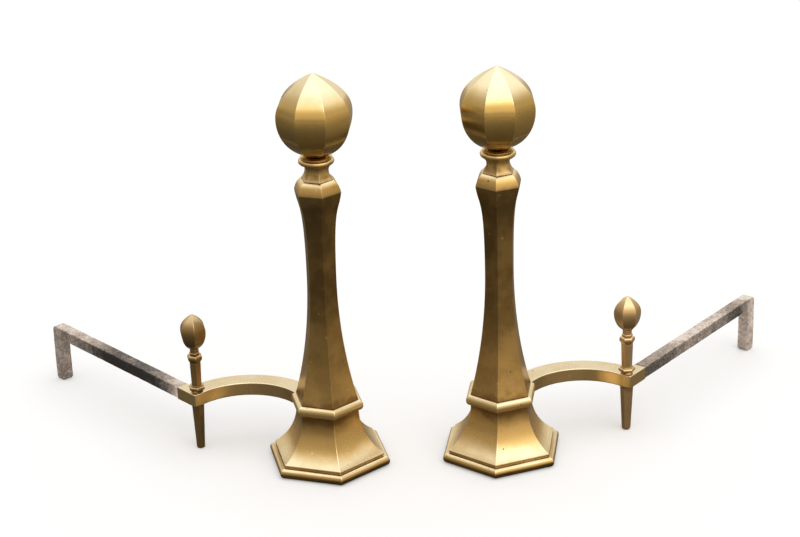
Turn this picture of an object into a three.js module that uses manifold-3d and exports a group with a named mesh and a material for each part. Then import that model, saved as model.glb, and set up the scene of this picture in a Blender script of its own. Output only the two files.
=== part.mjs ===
// A mirror pair of column andirons: a six-sided brass column on a flared foot, topped by an
// eight-sided ball, with a curved brass arm that carries a log stop and a wrought-iron billet bar.
// Millimetres, +Z up, the floor at z = 0, the fire behind the pair towards +Y.
import * as THREE from "three";
import { mergeVertices } from "three/addons/utils/BufferGeometryUtils.js";
import Module from "manifold-3d";

const wasm = await Module();
wasm.setup();

// Fits
const SEAT_GAP = 0.3; // left between two pieces that bear on each other
const HOLE_CLEARANCE = 0.3; // round a rod, a stud or a tenon, each side

// Where the pair stands
const COLUMN_SPREAD = 214; // between the two column axes
const TOE_OUT = 10.3; // each andiron is turned this far outwards, degrees
const COLUMN_SIDES = 6;
const BACK_HEADING = 60; // the column face that carries the arm, degrees from +X

// Base casting, hollow below; radii of six-sided pieces are taken at the corners
const BASE_RADIUS = 79;
const BEAD_HEIGHT = 12.6;
const BEAD_PROUD = 6.3;
const QUIRK_HEIGHT = 1.2; // the groove above the bead
const QUIRK_DEPTH = 3.2;
const FLARE_EDGE_RADIUS = 71.5;
const FLARE_EDGE_HEIGHT = 2.5;
const FLARE_HEIGHT = 55.3;
const CAST_WALL = 4;
const CAP_PLATE = 5; // top plate of the base casting
const COLUMN_FOOT_RADIUS = 40.7; // shared by the base top, the ring's root and the shaft's foot

// Ring moulding between base and shaft
const RING_HEIGHT = 13.8;
const RING_PROUD = 6.3;
const RING_BORE_RADIUS = 33;

// Column shaft, hollow
const SHAFT_HEIGHT = 284;
const WAIST_RISE = 158;
const WAIST_RADIUS = 19;
const SHOULDER_RADIUS = 29.7;
const SHOULDER_DROP = 15; // from the shaft's top to its widest shoulder
const SHAFT_PLATE = 6;
const NECK_FOOT_RADIUS = 20.5; // shared by the shaft's top and the neck's foot

// Neck and round collar below the ball
const NECK_WAIST_RADIUS = 15.2;
const NECK_WAIST_RISE = 12;
const NECK_FLARE_RISE = 5.5;
const NECK_TOP_RADIUS = 17.4;
const COLLAR_RADIUS = 22.2;
const COLLAR_FILLET_HEIGHT = 1;
const COLLAR_BEAD_HEIGHT = 7.2;
const COLLAR_LIP_RADIUS = 19.6;
const COLLAR_LIP_HEIGHT = 1.6;
const COLLAR_SEAT_RISE = 1.8;

// Eight-sided ball in two shells
const BALL_SIDES = 8;
const BALL_RADIUS = 47;
const BALL_FOOT_RADIUS = 12.7;
const BALL_DEPTH = 48.7; // from its foot to its seam
const BALL_CROWN = 51.3; // from its seam to its point
const BALL_WALL = 3.5;
const BALL_BOSS = 12; // solid metal over the foot, tapped for the rod
const SPIGOT_HEIGHT = 4;
const SPIGOT_THICKNESS = 2;
const BALL_TURN = { left: -5.8, right: -13.1 }; // each ball is screwed home at its own angle

// Tie rod with its washer and nut under the base's top plate
const ROD_DIAMETER = 9.5;
const ROD_TAIL = 4; // bare rod below the nut
const WASHER_DIAMETER = 28;
const WASHER_THICKNESS = 2.5;
const NUT_ACROSS_CORNERS = 19.6;
const NUT_HEIGHT = 8;

// Curved arm, level, a circular arc in plan
const ARM_RADIUS = 87.2; // to its centre line
const ARM_WIDTH = 25.4;
const ARM_HEIGHT = 16.8;
const ARM_HEADING = 74.8; // its direction as it leaves the column, degrees from +X
const ARM_EDGE = 0.8;
const TONGUE_THICKNESS = 5.5;
const TONGUE_WIDTH = 20;
const KNUCKLE_ANGLE = 45.7; // the front corner, seen from the arc's centre, degrees from +X
const KNUCKLE_PROUD = 2.9; // outside the arc's front face
const KNUCKLE_RUN = 6; // the front face straightens over this many degrees
const KNUCKLE_CHAMFER = 1.2;
const TAIL_LENGTH = 35; // brass behind the corner, along the bar

// Billet bar: one square iron bar with its rear leg bent down
const BAR_WIDTH = 16;
const BAR_REACH = 312; // from the knuckle's corner to the back of the rear leg
const LEG_THICKNESS = 16;
const BEND_RADIUS = 7;
const CROTCH_RADIUS = 3;
const BAR_EDGE = 1;
const FOOT_CHAMFER = 2.5;
const TENON_WIDTH = 10;
const TENON_LENGTH = 20;

// Log stop on the knuckle, six-sided
const STOP_SETBACK = 6.9; // its axis behind the corner, along the bar
const STOP_INSET = 9.9; // and in from the bar's outer side
const STOP_TURN = { left: 0.9, right: -18.4 };
const STOP_LEG_TOP_RADIUS = 8.5;
const STOP_LEG_TIP_RADIUS = 5.7;
const STOP_LEG_ROUNDING = 1.4;
const STUD_DIAMETER = 6;
const STUD_DEPTH = 14; // into the leg below and into the finial above
const STOP_FOOT_RADIUS = 7.8;
const STOP_FOOT_HEIGHT = 3.2;
const STOP_RING_ROOT = 8.6;
const STOP_RING_HEIGHT = 5;
const STOP_RING_PROUD = 2.2;
const STOP_FILLET_HEIGHT = 1.6;
const POST_HEIGHT = 30.1;
const POST_FOOT_RADIUS = 6.8;
const POST_TOP_RADIUS = 7.6;
const STOP_COLLAR_RADIUS = 10.1;
const STOP_COLLAR_FLARE = 6.5;
const STOP_COLLAR_BAND = 1.8;
const STOP_COLLAR_BEVEL = 2.2;
const STOP_BEAD_HEIGHT = 3;
const STOP_NECK_HEIGHT = 5.4;
const STOP_NECK_RADIUS = 6; // shared by the collar's neck and the finial's foot
const FINIAL_RADIUS = 17.2;
const FINIAL_DEPTH = 22.9;
const FINIAL_CROWN = 22.4;

// How finely the curves are cut
const ROUND_SIDES = 36;
const ROD_SIDES = 16;
const STUD_SIDES = 12;
const ARC_STEP = 5; // degrees of the arm's arc

// Heights of the stack, from the floor up
const flareEdgeTop = BEAD_HEIGHT + QUIRK_HEIGHT + FLARE_EDGE_HEIGHT;
const baseTop = flareEdgeTop + FLARE_HEIGHT;
const ringFoot = baseTop + SEAT_GAP;
const shaftFoot = ringFoot + RING_HEIGHT + SEAT_GAP;
const shaftTop = shaftFoot + SHAFT_HEIGHT;
const neckFoot = shaftTop + SEAT_GAP;
const neckTop = neckFoot + NECK_WAIST_RISE + NECK_FLARE_RISE;
const collarFoot = neckTop + SEAT_GAP;
const collarTop =
  collarFoot + COLLAR_FILLET_HEIGHT + COLLAR_BEAD_HEIGHT + COLLAR_LIP_HEIGHT + COLLAR_SEAT_RISE;
const ballFoot = collarTop + SEAT_GAP;
const ballSeam = ballFoot + BALL_DEPTH;
const armTop = ringFoot + TONGUE_THICKNESS;
const armBottom = armTop - ARM_HEIGHT;
const barBottom = armTop - BAR_WIDTH;

const rad = THREE.MathUtils.degToRad;
const across = (sides) => Math.cos(Math.PI / sides); // flat radius of a polygon over its corner radius
const wallAt = (wall, sides) => wall / across(sides); // a wall measured along a corner radius

// --- Outlines: lists of points (corner radius, height), each running upwards ---

const point = (r, z) => new THREE.Vector2(r, z);

// Hollow curve, a circle's arc that stands upright where it is narrowest, at its top.
function cavetto(rFoot, zFoot, rTop, zTop, steps) {
  const run = rFoot - rTop;
  const rise = zTop - zFoot;
  const radius = (run * run + rise * rise) / (2 * run);
  const sweep = Math.asin(Math.abs(rise) / radius);
  const points = [];
  for (let i = 0; i <= steps; i++) {
    const a = sweep * (1 - i / steps);
    points.push(point(rTop + radius * (1 - Math.cos(a)), zTop - Math.sign(rise) * radius * Math.sin(a)));
  }
  return points;
}

// Half-round moulding that stands proud of its root.
function bead(root, zFoot, zTop, proud, steps) {
  const half = (zTop - zFoot) / 2;
  const points = [];
  for (let i = 0; i <= steps; i++) {
    const a = (Math.PI * i) / steps;
    points.push(point(root + proud * Math.sin(a), zFoot + half * (1 - Math.cos(a))));
  }
  return points;
}

const curve = (a, b, c, d, steps) => new THREE.CubicBezierCurve(a, b, c, d).getPoints(steps);

// Lower half of a ball: an ellipse that is cut off flat at its foot.
function bowl(radius, footRadius, zFoot, zSeam, steps) {
  const cut = Math.acos(footRadius / radius);
  const halfHeight = (zSeam - zFoot) / Math.sin(cut);
  const points = [];
  for (let i = 0; i <= steps; i++) {
    const a = cut * (1 - i / steps);
    points.push(point(radius * Math.cos(a), zSeam - halfHeight * Math.sin(a)));
  }
  return points;
}

// Upper half of a ball, drawn to a blunt point: r = radius (1 - u^2.1)^0.93 at the share u of its height.
function crown(radius, zSeam, zPoint, steps) {
  const points = [];
  for (let i = 0; i <= steps; i++) {
    const u = Math.sin(((Math.PI / 2) * i) / steps);
    const r = i === steps ? 0 : radius * (1 - u ** 2.1) ** 0.93;
    points.push(point(r, zSeam + u * (zPoint - zSeam)));
  }
  return points;
}

// The shaft's long hollow sweep from its foot to its widest shoulder, drawn in by a wall.
function shaftSweep(inset, steps) {
  const waist = shaftFoot + WAIST_RISE;
  const shoulder = shaftTop - SHOULDER_DROP;
  const upper = shoulder - waist;
  const foot = COLUMN_FOOT_RADIUS - inset;
  const narrow = WAIST_RADIUS - inset;
  const wide = SHOULDER_RADIUS - inset;
  const below = curve(
    point(foot, shaftFoot),
    point(foot - 0.077 * WAIST_RISE, shaftFoot + 0.257 * WAIST_RISE),
    point(narrow, waist - 0.397 * WAIST_RISE),
    point(narrow, waist),
    steps,
  );
  const above = curve(
    point(narrow, waist),
    point(narrow, waist + 0.876 * upper),
    point(wide - 0.038 * upper, shoulder - 0.244 * upper),
    point(wide, shoulder),
    steps,
  );
  return [...below, ...above.slice(1)];
}

// --- Solids ---

// A turned or many-sided solid from a profile; with few sides its first corner faces -Y.
function lathe(profile, sides) {
  return new THREE.LatheGeometry(profile, sides).rotateX(Math.PI / 2);
}

function cylinder(diameter, zFoot, zTop, sides) {
  const radius = diameter / 2;
  return lathe([point(0, zFoot), point(radius, zFoot), point(radius, zTop), point(0, zTop)], sides);
}

function box(width, depth, height, x, y, z) {
  return new THREE.BoxGeometry(width, depth, height).translate(x, y, z);
}

function solid(geometry) {
  const plain = geometry.clone();
  plain.deleteAttribute("normal");
  plain.deleteAttribute("uv");
  const merged = mergeVertices(plain, 1e-4);
  return new wasm.Manifold(
    new wasm.Mesh({
      numProp: 3,
      vertProperties: merged.attributes.position.array,
      triVerts: new Uint32Array(merged.index.array),
    }),
  );
}

function geometryOf(made) {
  const mesh = made.getMesh();
  const geometry = new THREE.BufferGeometry();
  geometry.setAttribute("position", new THREE.BufferAttribute(mesh.vertProperties, 3));
  geometry.setIndex(new THREE.BufferAttribute(mesh.triVerts, 1));
  const faceted = geometry.toNonIndexed();
  faceted.computeVertexNormals();
  return faceted;
}

function cut(geometry, ...tools) {
  return geometryOf(tools.reduce((left, tool) => left.subtract(solid(tool)), solid(geometry)));
}

// An outline in the XY plane made into a plate with its edges broken.
function plate(outline, zFoot, thickness, edge) {
  const geometry = new THREE.ExtrudeGeometry(new THREE.Shape(outline), {
    depth: thickness - 2 * edge,
    bevelThickness: edge,
    bevelSize: edge,
    bevelOffset: -edge,
    bevelSegments: 1,
  });
  return geometry.translate(0, 0, zFoot + edge);
}

// --- Plan of the arm, about the column's axis ---

const heading = (degrees) => point(Math.cos(rad(degrees)), Math.sin(rad(degrees)));
const back = heading(BACK_HEADING);
const inward = heading(BACK_HEADING + 90);

const baseWallInset = wallAt(CAST_WALL, COLUMN_SIDES);
const flare = cavetto(FLARE_EDGE_RADIUS, flareEdgeTop, COLUMN_FOOT_RADIUS, baseTop, 12);
const flareRadius = (FLARE_HEIGHT ** 2 + (FLARE_EDGE_RADIUS - COLUMN_FOOT_RADIUS) ** 2) /
  (2 * (FLARE_EDGE_RADIUS - COLUMN_FOOT_RADIUS));
const flareAt = (z) => COLUMN_FOOT_RADIUS + flareRadius - Math.sqrt(flareRadius ** 2 - (baseTop - z) ** 2);

const armRoot = back.clone().multiplyScalar(flareAt(armBottom) * across(COLUMN_SIDES));
const armCentre = heading(ARM_HEADING - 90).multiplyScalar(ARM_RADIUS).add(armRoot);
const armFront = ARM_RADIUS - ARM_WIDTH / 2;
const armBack = ARM_RADIUS + ARM_WIDTH / 2;
const knuckle = heading(KNUCKLE_ANGLE).multiplyScalar(armFront + KNUCKLE_PROUD).add(armCentre);
const onBar = (along, across) =>
  knuckle.clone().addScaledVector(back, along).addScaledVector(inward, across);
const stopAxis = onBar(STOP_SETBACK, STOP_INSET);

function arcPoints(radius, from, to) {
  const steps = Math.ceil(Math.abs(to - from) / ARC_STEP);
  const points = [];
  for (let i = 0; i <= steps; i++) {
    points.push(heading(from + ((to - from) * i) / steps).multiplyScalar(radius).add(armCentre));
  }
  return points;
}

// How far along the bar its inner side crosses the arm's back face.
function armMeetsBar() {
  const start = onBar(0, BAR_WIDTH).sub(armCentre);
  const along = start.dot(back);
  return -along + Math.sqrt(along * along - start.lengthSq() + armBack * armBack);
}

// Angle of the arm's root, seen from the arc's centre; the arc starts inside the column and is cut to fit.
const rootAngle = ARM_HEADING + 90;
const rootOverlap = THREE.MathUtils.radToDeg(COLUMN_FOOT_RADIUS / ARM_RADIUS) / 2;

function armOutline() {
  const crossing = onBar(armMeetsBar(), BAR_WIDTH);
  const backEnd = THREE.MathUtils.radToDeg(Math.atan2(crossing.y - armCentre.y, crossing.x - armCentre.x));
  const front = arcPoints(armFront, rootAngle + rootOverlap, KNUCKLE_ANGLE + KNUCKLE_RUN);
  const towards = front.at(-1).clone().sub(knuckle).setLength(KNUCKLE_CHAMFER);
  return [
    ...front,
    knuckle.clone().add(towards),
    onBar(KNUCKLE_CHAMFER, 0),
    onBar(TAIL_LENGTH, 0),
    onBar(TAIL_LENGTH, BAR_WIDTH),
    ...arcPoints(armBack, backEnd, rootAngle + rootOverlap),
  ].reverse();
}

// --- The column's pieces ---

const rodHole = (zFoot, zTop) => cylinder(ROD_DIAMETER + 2 * HOLE_CLEARANCE, zFoot, zTop, ROD_SIDES);
const rodBore = ROD_DIAMETER / 2 + HOLE_CLEARANCE;

function baseCasting() {
  const beadRoot = BASE_RADIUS - BEAD_PROUD;
  const plateUnder = baseTop - CAP_PLATE;
  const innerEdge = FLARE_EDGE_RADIUS - baseWallInset;
  const inside = cavetto(
    innerEdge,
    flareEdgeTop - CAST_WALL,
    COLUMN_FOOT_RADIUS - baseWallInset,
    plateUnder,
    6,
  ).reverse();
  const body = lathe(
    [
      point(0, plateUnder),
      ...inside,
      point(innerEdge, 0),
      ...bead(beadRoot, 0, BEAD_HEIGHT, BEAD_PROUD, 8),
      point(FLARE_EDGE_RADIUS - QUIRK_DEPTH, BEAD_HEIGHT),
      point(FLARE_EDGE_RADIUS - QUIRK_DEPTH, BEAD_HEIGHT + QUIRK_HEIGHT),
      point(FLARE_EDGE_RADIUS, BEAD_HEIGHT + QUIRK_HEIGHT),
      ...flare,
      point(0, baseTop),
    ],
    COLUMN_SIDES,
  );
  return cut(body, rodHole(plateUnder - 1, baseTop + 1));
}

function ringOutline(grow) {
  return bead(COLUMN_FOOT_RADIUS + grow, ringFoot - grow, ringFoot + RING_HEIGHT + grow, RING_PROUD, 8);
}

function ringMoulding() {
  const outline = [
    point(RING_BORE_RADIUS, ringFoot),
    ...ringOutline(0),
    point(RING_BORE_RADIUS, ringFoot + RING_HEIGHT),
    point(RING_BORE_RADIUS, ringFoot),
  ];
  const reach = COLUMN_FOOT_RADIUS + RING_PROUD;
  const notch = box(
    reach,
    TONGUE_WIDTH + 2 * HOLE_CLEARANCE,
    2 * (TONGUE_THICKNESS + SEAT_GAP),
    reach / 2,
    0,
    ringFoot,
  ).rotateZ(rad(BACK_HEADING));
  return cut(lathe(outline, COLUMN_SIDES), notch);
}

function columnShaft() {
  const shoulder = shaftTop - SHOULDER_DROP;
  const plateUnder = shaftTop - SHAFT_PLATE;
  const cushion = curve(
    point(SHOULDER_RADIUS, shoulder),
    point(SHOULDER_RADIUS - 0.05 * SHOULDER_DROP, shoulder + 0.3 * SHOULDER_DROP),
    point(0.4 * SHOULDER_RADIUS + 0.6 * NECK_FOOT_RADIUS + 1.8, shaftTop - 0.2 * SHOULDER_DROP),
    point(NECK_FOOT_RADIUS, shaftTop),
    7,
  );
  const inside = shaftSweep(baseWallInset, 6);
  const body = lathe(
    [
      point(0, plateUnder),
      point(NECK_FOOT_RADIUS - baseWallInset, plateUnder),
      ...inside.reverse(),
      ...shaftSweep(0, 12),
      ...cushion.slice(1),
      point(0, shaftTop),
    ],
    COLUMN_SIDES,
  );
  return cut(body, rodHole(plateUnder - 1, shaftTop + 1));
}

function neck() {
  const waist = neckFoot + NECK_WAIST_RISE;
  const lower = cavetto(NECK_FOOT_RADIUS, neckFoot, NECK_WAIST_RADIUS, waist, 6);
  const upper = cavetto(NECK_TOP_RADIUS, neckTop, NECK_WAIST_RADIUS, waist, 4).reverse();
  const body = lathe([point(0, neckFoot), ...lower, ...upper.slice(1), point(0, neckTop)], COLUMN_SIDES);
  return cut(body, rodHole(neckFoot - 1, neckTop + 1));
}

function collar() {
  const beadFoot = collarFoot + COLLAR_FILLET_HEIGHT;
  const beadTop = beadFoot + COLLAR_BEAD_HEIGHT;
  const beadRoot = (NECK_TOP_RADIUS + COLLAR_LIP_RADIUS) / 2;
  return lathe(
    [
      point(rodBore, collarFoot),
      ...bead(NECK_TOP_RADIUS, collarFoot, beadFoot, COLLAR_FILLET_HEIGHT / 2, 4),
      ...bead(beadRoot, beadFoot, beadTop, COLLAR_RADIUS - beadRoot, 8).slice(1),
      point(COLLAR_LIP_RADIUS, beadTop + COLLAR_LIP_HEIGHT / 2),
      point(COLLAR_LIP_RADIUS, beadTop + COLLAR_LIP_HEIGHT),
      point(BALL_FOOT_RADIUS, collarTop),
      point(rodBore, collarTop),
      point(rodBore, collarFoot),
    ],
    ROUND_SIDES,
  );
}

const ballInset = wallAt(BALL_WALL, BALL_SIDES);

function ballLower() {
  const bossTop = ballFoot + BALL_BOSS;
  const innerRadius = BALL_RADIUS - ballInset;
  const innerHeight = BALL_DEPTH / Math.sin(Math.acos(BALL_FOOT_RADIUS / BALL_RADIUS)) - BALL_WALL;
  const innerFoot = innerRadius * Math.sqrt(1 - ((ballSeam - bossTop) / innerHeight) ** 2);
  const body = lathe(
    [
      point(0, ballFoot),
      ...bowl(BALL_RADIUS, BALL_FOOT_RADIUS, ballFoot, ballSeam, 12),
      ...bowl(innerRadius, innerFoot, bossTop, ballSeam, 6).reverse(),
      point(0, bossTop),
    ],
    BALL_SIDES,
  );
  return cut(body, rodHole(ballFoot - 1, bossTop + 1));
}

function ballUpper() {
  const spigotOuter = BALL_RADIUS - ballInset - wallAt(HOLE_CLEARANCE, BALL_SIDES);
  const spigotInner = spigotOuter - wallAt(SPIGOT_THICKNESS, BALL_SIDES);
  const rim = ballSeam + SEAT_GAP;
  const inside = crown(spigotInner, rim, ballSeam + BALL_CROWN - BALL_WALL, 6).reverse();
  return lathe(
    [
      ...inside,
      point(spigotInner, ballSeam - SPIGOT_HEIGHT),
      point(spigotOuter, ballSeam - SPIGOT_HEIGHT),
      point(spigotOuter, rim),
      ...crown(BALL_RADIUS, rim, ballSeam + BALL_CROWN, 12),
    ],
    BALL_SIDES,
  );
}

const washerTop = baseTop - CAP_PLATE - SEAT_GAP;
const nutTop = washerTop - WASHER_THICKNESS - SEAT_GAP;

function tieWasher() {
  const foot = washerTop - WASHER_THICKNESS;
  return cut(cylinder(WASHER_DIAMETER, foot, washerTop, 24), rodHole(foot - 1, washerTop + 1));
}

function tieNut() {
  const foot = nutTop - NUT_HEIGHT;
  return cut(cylinder(NUT_ACROSS_CORNERS, foot, nutTop, 6), rodHole(foot - 1, nutTop + 1));
}

function tieRod() {
  return cylinder(ROD_DIAMETER, nutTop - NUT_HEIGHT - ROD_TAIL, ballFoot + BALL_BOSS, ROD_SIDES);
}

// --- The arm and the billet bar ---

function brassArm() {
  const grow = wallAt(SEAT_GAP, COLUMN_SIDES);
  const body = plate(armOutline(), armBottom, ARM_HEIGHT, ARM_EDGE);
  const reach = (COLUMN_FOOT_RADIUS + RING_PROUD) * across(COLUMN_SIDES) + TONGUE_THICKNESS;
  const tongue = box(reach, TONGUE_WIDTH, TONGUE_THICKNESS, reach / 2, 0, armTop - TONGUE_THICKNESS / 2)
    .rotateZ(rad(BACK_HEADING));
  const eye = cylinder(TONGUE_WIDTH, ringFoot, armTop, ROUND_SIDES);
  const baseRoom = lathe(
    [point(0, 0), ...flare.map((p) => point(p.x + grow, p.y + SEAT_GAP)), point(0, baseTop + SEAT_GAP)],
    COLUMN_SIDES,
  );
  const ringRoom = lathe(
    [point(0, ringFoot - grow), ...ringOutline(grow), point(0, ringFoot + RING_HEIGHT + grow)],
    COLUMN_SIDES,
  );
  const socket = box(
    2 * (TENON_LENGTH + HOLE_CLEARANCE),
    TENON_WIDTH + 2 * HOLE_CLEARANCE,
    TENON_WIDTH + 2 * HOLE_CLEARANCE,
    TAIL_LENGTH,
    BAR_WIDTH / 2,
    armTop - BAR_WIDTH / 2,
  ).rotateZ(rad(BACK_HEADING)).translate(knuckle.x, knuckle.y, 0);
  const studHole = cylinder(STUD_DIAMETER + 2 * HOLE_CLEARANCE, armBottom - 1, armTop + 1, STUD_SIDES)
    .translate(stopAxis.x, stopAxis.y, 0);
  const arm = solid(body)
    .subtract(solid(baseRoom))
    .subtract(solid(ringRoom))
    .add(solid(tongue))
    .add(solid(eye));
  return cut(geometryOf(arm), rodHole(ringFoot - 1, armTop + 1), socket, studHole);
}

// Side view of the bar, drawn along it from the knuckle and upwards, then stood up across its width.
function billetBar() {
  const start = TAIL_LENGTH + SEAT_GAP;
  const inner = BAR_REACH - LEG_THICKNESS;
  const side = new THREE.Shape();
  side.moveTo(start, barBottom);
  side.lineTo(inner - CROTCH_RADIUS, barBottom);
  side.absarc(inner - CROTCH_RADIUS, barBottom - CROTCH_RADIUS, CROTCH_RADIUS, Math.PI / 2, 0, true);
  side.lineTo(inner, FOOT_CHAMFER);
  side.lineTo(inner + FOOT_CHAMFER, 0);
  side.lineTo(BAR_REACH - FOOT_CHAMFER, 0);
  side.lineTo(BAR_REACH, FOOT_CHAMFER);
  side.lineTo(BAR_REACH, armTop - BEND_RADIUS);
  side.absarc(BAR_REACH - BEND_RADIUS, armTop - BEND_RADIUS, BEND_RADIUS, 0, Math.PI / 2, false);
  side.lineTo(start, armTop);
  const bar = plate(side.getPoints(5), 0, BAR_WIDTH, BAR_EDGE).rotateX(Math.PI / 2).translate(0, BAR_WIDTH, 0);
  const tenon = box(
    TENON_LENGTH + BAR_EDGE,
    TENON_WIDTH,
    TENON_WIDTH,
    start - (TENON_LENGTH - BAR_EDGE) / 2,
    BAR_WIDTH / 2,
    armTop - BAR_WIDTH / 2,
  );
  return geometryOf(solid(bar).add(solid(tenon)));
}

// --- The log stop, about its own axis ---

const stopRingFoot = armTop + SEAT_GAP;
const stopRingTop = stopRingFoot + STOP_FOOT_HEIGHT + STOP_RING_HEIGHT + STOP_FILLET_HEIGHT;
const postFoot = stopRingTop + SEAT_GAP;
const postTop = postFoot + POST_HEIGHT;
const stopCollarFoot = postTop + SEAT_GAP;
const stopCollarTop =
  stopCollarFoot +
  STOP_COLLAR_FLARE +
  STOP_COLLAR_BAND +
  STOP_COLLAR_BEVEL +
  STOP_BEAD_HEIGHT +
  STOP_NECK_HEIGHT;
const finialFoot = stopCollarTop + SEAT_GAP;
const finialSeam = finialFoot + FINIAL_DEPTH;

const studHole = (zFoot, zTop) => cylinder(STUD_DIAMETER + 2 * HOLE_CLEARANCE, zFoot, zTop, STUD_SIDES);

function stopLeg() {
  const top = armBottom - SEAT_GAP;
  const body = lathe(
    [
      point(0, 0),
      point(STOP_LEG_TIP_RADIUS - STOP_LEG_ROUNDING, 0),
      point(STOP_LEG_TIP_RADIUS, STOP_LEG_ROUNDING),
      point(STOP_LEG_TOP_RADIUS, top),
      point(0, top),
    ],
    COLUMN_SIDES,
  );
  return cut(body, studHole(top - STUD_DEPTH - HOLE_CLEARANCE, top + 1));
}

function stopRing() {
  const beadFoot = stopRingFoot + STOP_FOOT_HEIGHT;
  const beadTop = beadFoot + STOP_RING_HEIGHT;
  const body = lathe(
    [
      point(0, stopRingFoot),
      point(STOP_FOOT_RADIUS, stopRingFoot),
      ...bead(STOP_RING_ROOT, beadFoot, beadTop, STOP_RING_PROUD, 6),
      ...bead(STOP_RING_ROOT - 0.7, beadTop, stopRingTop, STOP_FILLET_HEIGHT / 3, 4),
      point(0, stopRingTop),
    ],
    COLUMN_SIDES,
  );
  return cut(body, studHole(stopRingFoot - 1, stopRingTop + 1));
}

function stopPost() {
  const body = lathe(
    [
      point(0, postFoot),
      point(POST_FOOT_RADIUS, postFoot),
      point(POST_TOP_RADIUS, postTop),
      point(0, postTop),
    ],
    COLUMN_SIDES,
  );
  return cut(body, studHole(postFoot - 1, postTop + 1));
}

function stopCollar() {
  const bandFoot = stopCollarFoot + STOP_COLLAR_FLARE;
  const bandTop = bandFoot + STOP_COLLAR_BAND;
  const beadFoot = bandTop + STOP_COLLAR_BEVEL;
  const beadTop = beadFoot + STOP_BEAD_HEIGHT;
  const body = lathe(
    [
      point(0, stopCollarFoot),
      ...cavetto(STOP_COLLAR_RADIUS, bandFoot, POST_TOP_RADIUS, stopCollarFoot, 4).reverse(),
      point(STOP_COLLAR_RADIUS, bandTop),
      point(STOP_NECK_RADIUS, beadFoot),
      ...bead(STOP_NECK_RADIUS, beadFoot, beadTop, 1.2, 4).slice(1),
      point(STOP_NECK_RADIUS, stopCollarTop),
      point(0, stopCollarTop),
    ],
    COLUMN_SIDES,
  );
  return cut(body, studHole(stopCollarFoot - 1, stopCollarTop + 1));
}

function stopFinial() {
  const body = lathe(
    [
      point(0, finialFoot),
      ...bowl(FINIAL_RADIUS, STOP_NECK_RADIUS, finialFoot, finialSeam, 8),
      ...crown(FINIAL_RADIUS, finialSeam, finialSeam + FINIAL_CROWN, 8).slice(1),
    ],
    COLUMN_SIDES,
  );
  return cut(body, studHole(finialFoot - 1, finialFoot + STUD_DEPTH + HOLE_CLEARANCE));
}

function stopStud() {
  return cylinder(STUD_DIAMETER, armBottom - SEAT_GAP - STUD_DEPTH, finialFoot + STUD_DEPTH, STUD_SIDES);
}

// --- The pair ---

const BRASS = { color: 0xb48d4c, roughness: 0.3, metalness: 1 };
const IRON = { color: 0x5a504b, roughness: 0.85, metalness: 0.55 };
const STEEL = { color: 0x77736c, roughness: 0.5, metalness: 0.9 };

const columnPieces = [
  ["base_casting", baseCasting(), BRASS],
  ["ring_moulding", ringMoulding(), BRASS],
  ["column_shaft", columnShaft(), BRASS],
  ["neck", neck(), BRASS],
  ["collar", collar(), BRASS],
  ["tie_rod", tieRod(), STEEL],
  ["tie_washer", tieWasher(), STEEL],
  ["tie_nut", tieNut(), STEEL],
  ["arm", brassArm(), BRASS],
];
const ballPieces = [
  ["ball_lower", ballLower(), BRASS],
  ["ball_upper", ballUpper(), BRASS],
];
const barPieces = [["billet_bar", billetBar(), IRON]];
const stopPieces = [
  ["stop_leg", stopLeg(), BRASS],
  ["stop_ring", stopRing(), BRASS],
  ["stop_post", stopPost(), BRASS],
  ["stop_collar", stopCollar(), BRASS],
  ["stop_finial", stopFinial(), BRASS],
  ["stop_stud", stopStud(), STEEL],
];

function group(side, pieces, turn = 0, x = 0, y = 0) {
  const made = new THREE.Group();
  for (const [name, geometry, look] of pieces) {
    const mesh = new THREE.Mesh(geometry, new THREE.MeshStandardMaterial(look));
    mesh.name = `${side}_${name}`;
    made.add(mesh);
  }
  made.rotation.z = rad(turn);
  made.position.set(x, y, 0);
  return made;
}

// One andiron, drawn as the right one; the left one is its mirror image.
function andiron(side) {
  const mirror = side === "left" ? -1 : 1;
  const made = new THREE.Group();
  made.add(
    group(side, columnPieces),
    group(side, ballPieces, BALL_TURN[side]),
    group(side, barPieces, BACK_HEADING, knuckle.x, knuckle.y),
    group(side, stopPieces, STOP_TURN[side], stopAxis.x, stopAxis.y),
  );
  made.scale.x = mirror;
  made.rotation.z = -mirror * rad(TOE_OUT);
  made.position.x = (mirror * COLUMN_SPREAD) / 2;
  return made;
}

const pair = new THREE.Group();
pair.add(andiron("left"), andiron("right"));
const extent = new THREE.Box3().setFromObject(pair, true);
pair.position.y = -(extent.min.y + extent.max.y) / 2;

export default pair;
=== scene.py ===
# A mirror pair of column andirons: six-sided columns of aged cast brass under eight-sided balls, each with
# a curved brass arm, a log stop and a wrought-iron billet bar. Every surface made here stands where its
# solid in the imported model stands, +Z up. Sizes are in millimetres, and the meshes in metres.
import math

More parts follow.
